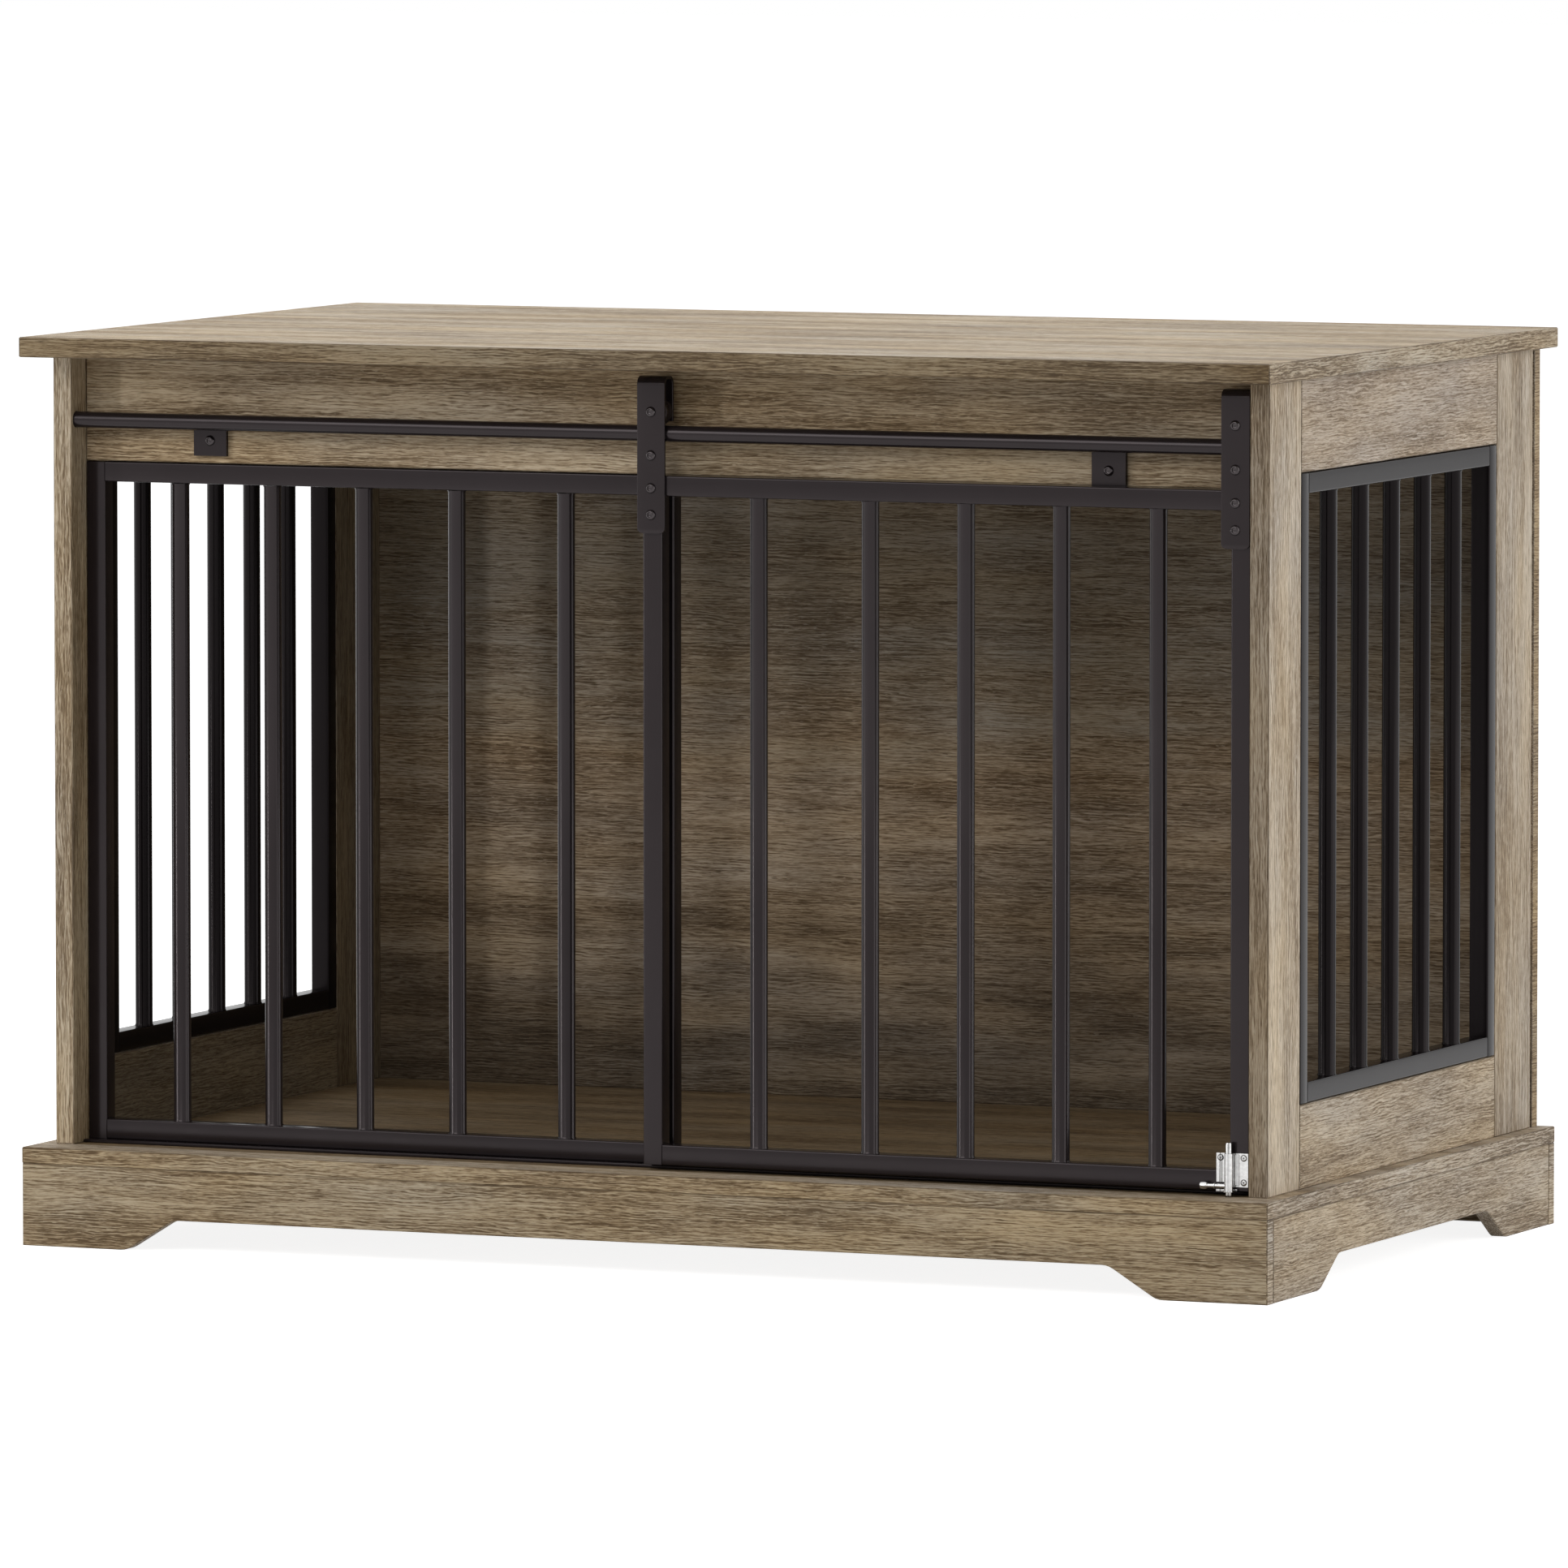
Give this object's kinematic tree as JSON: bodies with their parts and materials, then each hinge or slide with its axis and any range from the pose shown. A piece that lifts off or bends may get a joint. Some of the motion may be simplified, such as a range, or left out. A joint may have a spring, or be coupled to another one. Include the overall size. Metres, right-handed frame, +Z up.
{
  "type": "dog crate end table",
  "caption": "Wooden end table that is a dog crate: barred steel sides and front, a barred door that slides on rollers along a round rail, and a drop bolt.",
  "frame": {"origin": "on the floor, under the middle of the table top", "axes": "+X along the width, towards the post that the door closes on; -Y out of the front with the door; +Z up"},
  "size_m": [1, 0.595, 0.68],
  "materials": {
    "oak_laminate": "grey-brown oak wood-grain laminate, matt",
    "dark_oak_laminate": "dark oak wood-grain laminate, matt",
    "black_steel": "charcoal powder coat, satin",
    "nickel": "bright nickel plate"
  },
  "bodies": {
    "cabinet": {"apron_front": "oak_laminate", "back_panel": "dark_oak_laminate", "base_board": "oak_laminate", "fixed_grille_left_stile": "black_steel", "fixed_grille_rails_and_bars": "black_steel", "fixed_grille_right_stile": "black_steel", "floor_track": "black_steel", "front_left_corner_block": "dark_oak_laminate", "front_left_post": "oak_laminate", "front_plinth": "oak_laminate", "front_right_corner_block": "dark_oak_laminate", "front_right_post": "oak_laminate", "left_grille_front_stile": "black_steel", "left_grille_rails_and_bars": "black_steel", "left_grille_rear_stile": "black_steel", "left_lower_board": "oak_laminate", "left_plinth": "oak_laminate", "left_rail_clip": "black_steel", "left_rail_clip_screw": "black_steel", "left_upper_board": "oak_laminate", "rail_bar": "black_steel", "rear_left_corner_block": "dark_oak_laminate", "rear_left_post": "oak_laminate", "rear_plinth": "oak_laminate", "rear_right_corner_block": "dark_oak_laminate", "rear_right_post": "oak_laminate", "right_grille_front_stile": "black_steel", "right_grille_rails_and_bars": "black_steel", "right_grille_rear_stile": "black_steel", "right_lower_board": "oak_laminate", "right_plinth": "oak_laminate", "right_rail_clip": "black_steel", "right_rail_clip_screw": "black_steel", "right_upper_board": "oak_laminate", "table_top": "oak_laminate"},
    "door": {"door_left_stile": "black_steel", "door_rails_and_bars": "black_steel", "door_right_stile": "black_steel", "left_hanger": "black_steel", "left_axle_bolt": "black_steel", "left_axle_nut": "black_steel", "left_lift_bolt": "black_steel", "left_hanger_upper_bolt": "black_steel", "left_hanger_lower_bolt": "black_steel", "right_hanger": "black_steel", "right_axle_bolt": "black_steel", "right_axle_nut": "black_steel", "right_lift_bolt": "black_steel", "right_hanger_upper_bolt": "black_steel", "right_hanger_lower_bolt": "black_steel", "lock_plate": "nickel", "lock_lower_screw": "nickel", "lock_upper_screw": "nickel", "lock_rivet": "nickel"},
    "left_roller": {"left_roller": "black_steel"},
    "right_roller": {"right_roller": "black_steel"},
    "lock_bolt": {"lock_rod": "nickel", "lock_knob": "nickel"}
  },
  "joints": [
    {"name": "door_slide", "type": "slide", "parent": "cabinet", "child": "door", "axis": [-1, 0, 0], "range_m": [0, 0.455]},
    {"name": "left_roller_spin", "type": "hinge", "parent": "door", "child": "left_roller", "pos_m": [0, -0.25675, 0.63345], "axis": [0, -1, 0], "range_deg": [0, 2600]},
    {"name": "right_roller_spin", "type": "hinge", "parent": "door", "child": "right_roller", "pos_m": [0.461, -0.25675, 0.63345], "axis": [0, -1, 0], "range_deg": [0, 2600]},
    {"name": "lock_slide", "type": "slide", "parent": "door", "child": "lock_bolt", "axis": [0, 0, 1], "range_m": [0, 0.014]}
  ],
  "couplings": [
    {"joint": "left_roller_spin", "follows": "door_slide", "rad_per_m": 99.01},
    {"joint": "right_roller_spin", "follows": "door_slide", "rad_per_m": 99.01}
  ]
}
